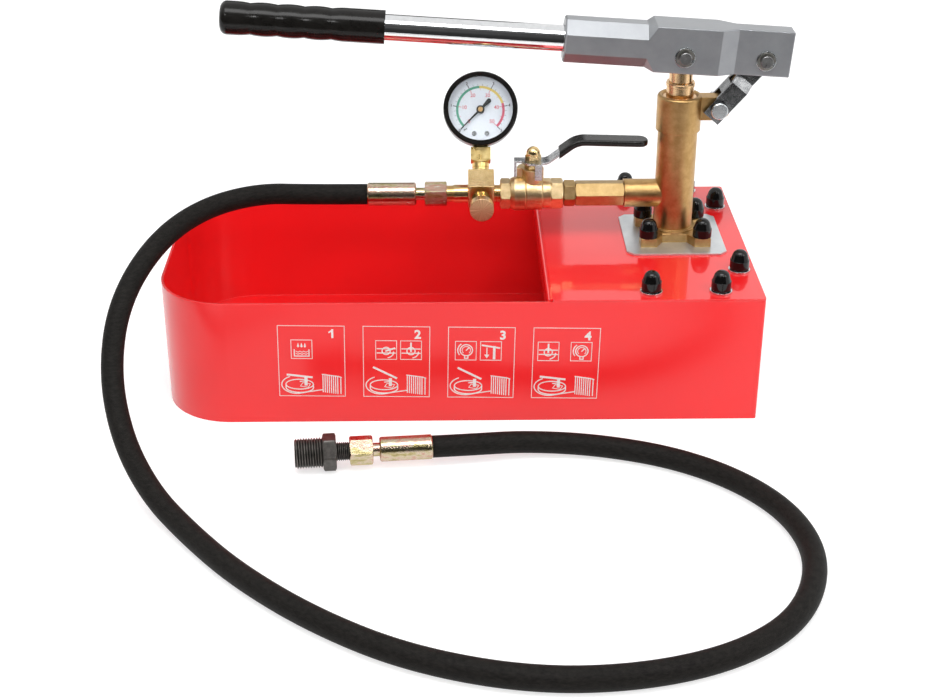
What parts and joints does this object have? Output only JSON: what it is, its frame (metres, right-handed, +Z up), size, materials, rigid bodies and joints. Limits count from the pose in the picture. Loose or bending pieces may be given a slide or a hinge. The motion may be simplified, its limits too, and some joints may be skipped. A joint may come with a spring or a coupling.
{
  "type": "hydrostatic test pump",
  "caption": "Hand-lever hydrostatic test pump on an open water tank, with a pressure gauge, a ball valve, a bleed valve and a hose.",
  "frame": {"origin": "middle of the tank's underside", "axes": "+X along the tank from its round end towards the pump column, +Y towards the back, +Z up"},
  "size_m": [0.4876, 0.5253, 0.2782],
  "materials": {
    "tank_red": "gloss powder coat",
    "zinc_plate": "bright zinc plate",
    "yellow_zinc": "yellow passivated zinc",
    "black_steel": "black oxide",
    "plain_steel": "turned",
    "spring_steel": "plain",
    "brass_turned": "turned",
    "brass_cast": "tumbled casting",
    "brass_bright": "machined bright",
    "grey_casting": "silver grey lacquer",
    "chrome": "polished",
    "black_plastic": "gloss",
    "black_rubber": "satin",
    "hose_rubber": "matt wrapped",
    "white_plastic": "matt",
    "dial_white": "printed",
    "needle_black": "matt",
    "window_clear": "clear",
    "packing_fibre": "greased braid"
  },
  "bodies": {
    "pump": {"tank_shell": "tank_red", "deck_plate": "tank_red", "deck_bolts": "zinc_plate", "deck_washers": "zinc_plate", "deck_nuts": "zinc_plate", "deck_caps": "black_rubber", "base_plate": "zinc_plate", "flange_bolts": "zinc_plate", "flange_nuts": "zinc_plate", "flange_caps": "black_rubber", "pump_cylinder": "brass_cast", "gland_packing": "packing_fibre", "gland_nut": "brass_turned", "inlet_seat": "brass_turned", "suction_tube": "white_plastic", "suction_strainer": "white_plastic", "outlet_valve_body": "brass_turned", "hex_nipple": "brass_turned", "valve_body": "brass_cast", "valve_end": "brass_cast", "valve_seats": "white_plastic", "stem_packing_nut": "brass_turned", "manifold_nipple": "brass_turned", "manifold_block": "brass_bright", "outlet_adapter": "brass_bright", "bleed_nut": "brass_bright", "gauge_socket": "brass_bright", "gauge_case": "chrome", "gauge_bezel": "black_plastic", "gauge_window": "window_clear", "gauge_dial": "dial_white", "gauge_movement": "brass_turned", "bourdon_tube": "brass_turned", "link_bolt": "zinc_plate", "link_nut": "zinc_plate", "upper_hose_nut": "yellow_zinc", "upper_ferrule": "yellow_zinc", "hose": "hose_rubber", "lower_ferrule": "yellow_zinc", "lower_hose_nut": "yellow_zinc", "thread_adapter": "black_steel"},
    "plunger": {"plunger": "brass_turned"},
    "handle": {"handle_head": "grey_casting", "handle_tube": "chrome", "handle_grip": "black_plastic", "plunger_pin": "plain_steel", "fulcrum_pin": "plain_steel", "pin_circlips": "spring_steel", "pin_washers": "zinc_plate"},
    "link": {"link_strap": "zinc_plate"},
    "valve_lever": {"valve_ball": "chrome", "valve_stem": "brass_turned", "valve_lever": "zinc_plate", "lever_sleeve": "black_plastic", "lever_nut": "brass_bright"},
    "bleed_screw": {"bleed_screw": "brass_bright"},
    "gauge_needle": {"gauge_needle": "needle_black"},
    "inlet_ball": {"inlet_ball": "plain_steel"},
    "outlet_ball": {"outlet_ball": "plain_steel", "outlet_spring": "spring_steel"}
  },
  "joints": [
    {"name": "plunger_slide", "type": "slide", "parent": "pump", "child": "plunger", "axis": [0, 0, 1], "range_m": [0, 0.0475]},
    {"name": "handle_lift", "type": "hinge", "parent": "plunger", "child": "handle", "pos_m": [0.162, 0.007, 0.2397], "axis": [0, 1, 0], "range_deg": [0, 40]},
    {"name": "link_swing", "type": "hinge", "parent": "pump", "child": "link", "pos_m": [0.19, 0.007, 0.1982], "axis": [0, 1, 0], "range_deg": [-22, 0]},
    {"name": "valve_turn", "type": "hinge", "parent": "pump", "child": "valve_lever", "pos_m": [0.0559, 0.007, 0.15], "axis": [0, 0, -1], "range_deg": [0, 90]},
    {"name": "bleed_turn", "type": "hinge", "parent": "pump", "child": "bleed_screw", "pos_m": [0.0172, -0.02, 0.1309], "axis": [0, 1, 0], "range_deg": [0, 540]},
    {"name": "needle_swing", "type": "hinge", "parent": "pump", "child": "gauge_needle", "pos_m": [0.0172, 0.038, 0.18459], "axis": [0, 0.866, -0.5], "range_deg": [0, 270], "stiffness_Nm_per_rad": 0.001, "springref_deg": -5.73},
    {"name": "inlet_ball_lift", "type": "slide", "parent": "pump", "child": "inlet_ball", "axis": [0, 0, 1], "range_m": [0, 0.003]},
    {"name": "outlet_ball_lift", "type": "slide", "parent": "pump", "child": "outlet_ball", "axis": [-1, 0, 0], "range_m": [0, 0.003], "stiffness_N_per_m": 60, "springref_m": -0.001}
  ],
  "couplings": [
    {"joint": "plunger_slide", "follows": "handle_lift", "m_per_rad": 0.067792},
    {"joint": "link_swing", "follows": "handle_lift", "ratio": -0.51911}
  ]
}
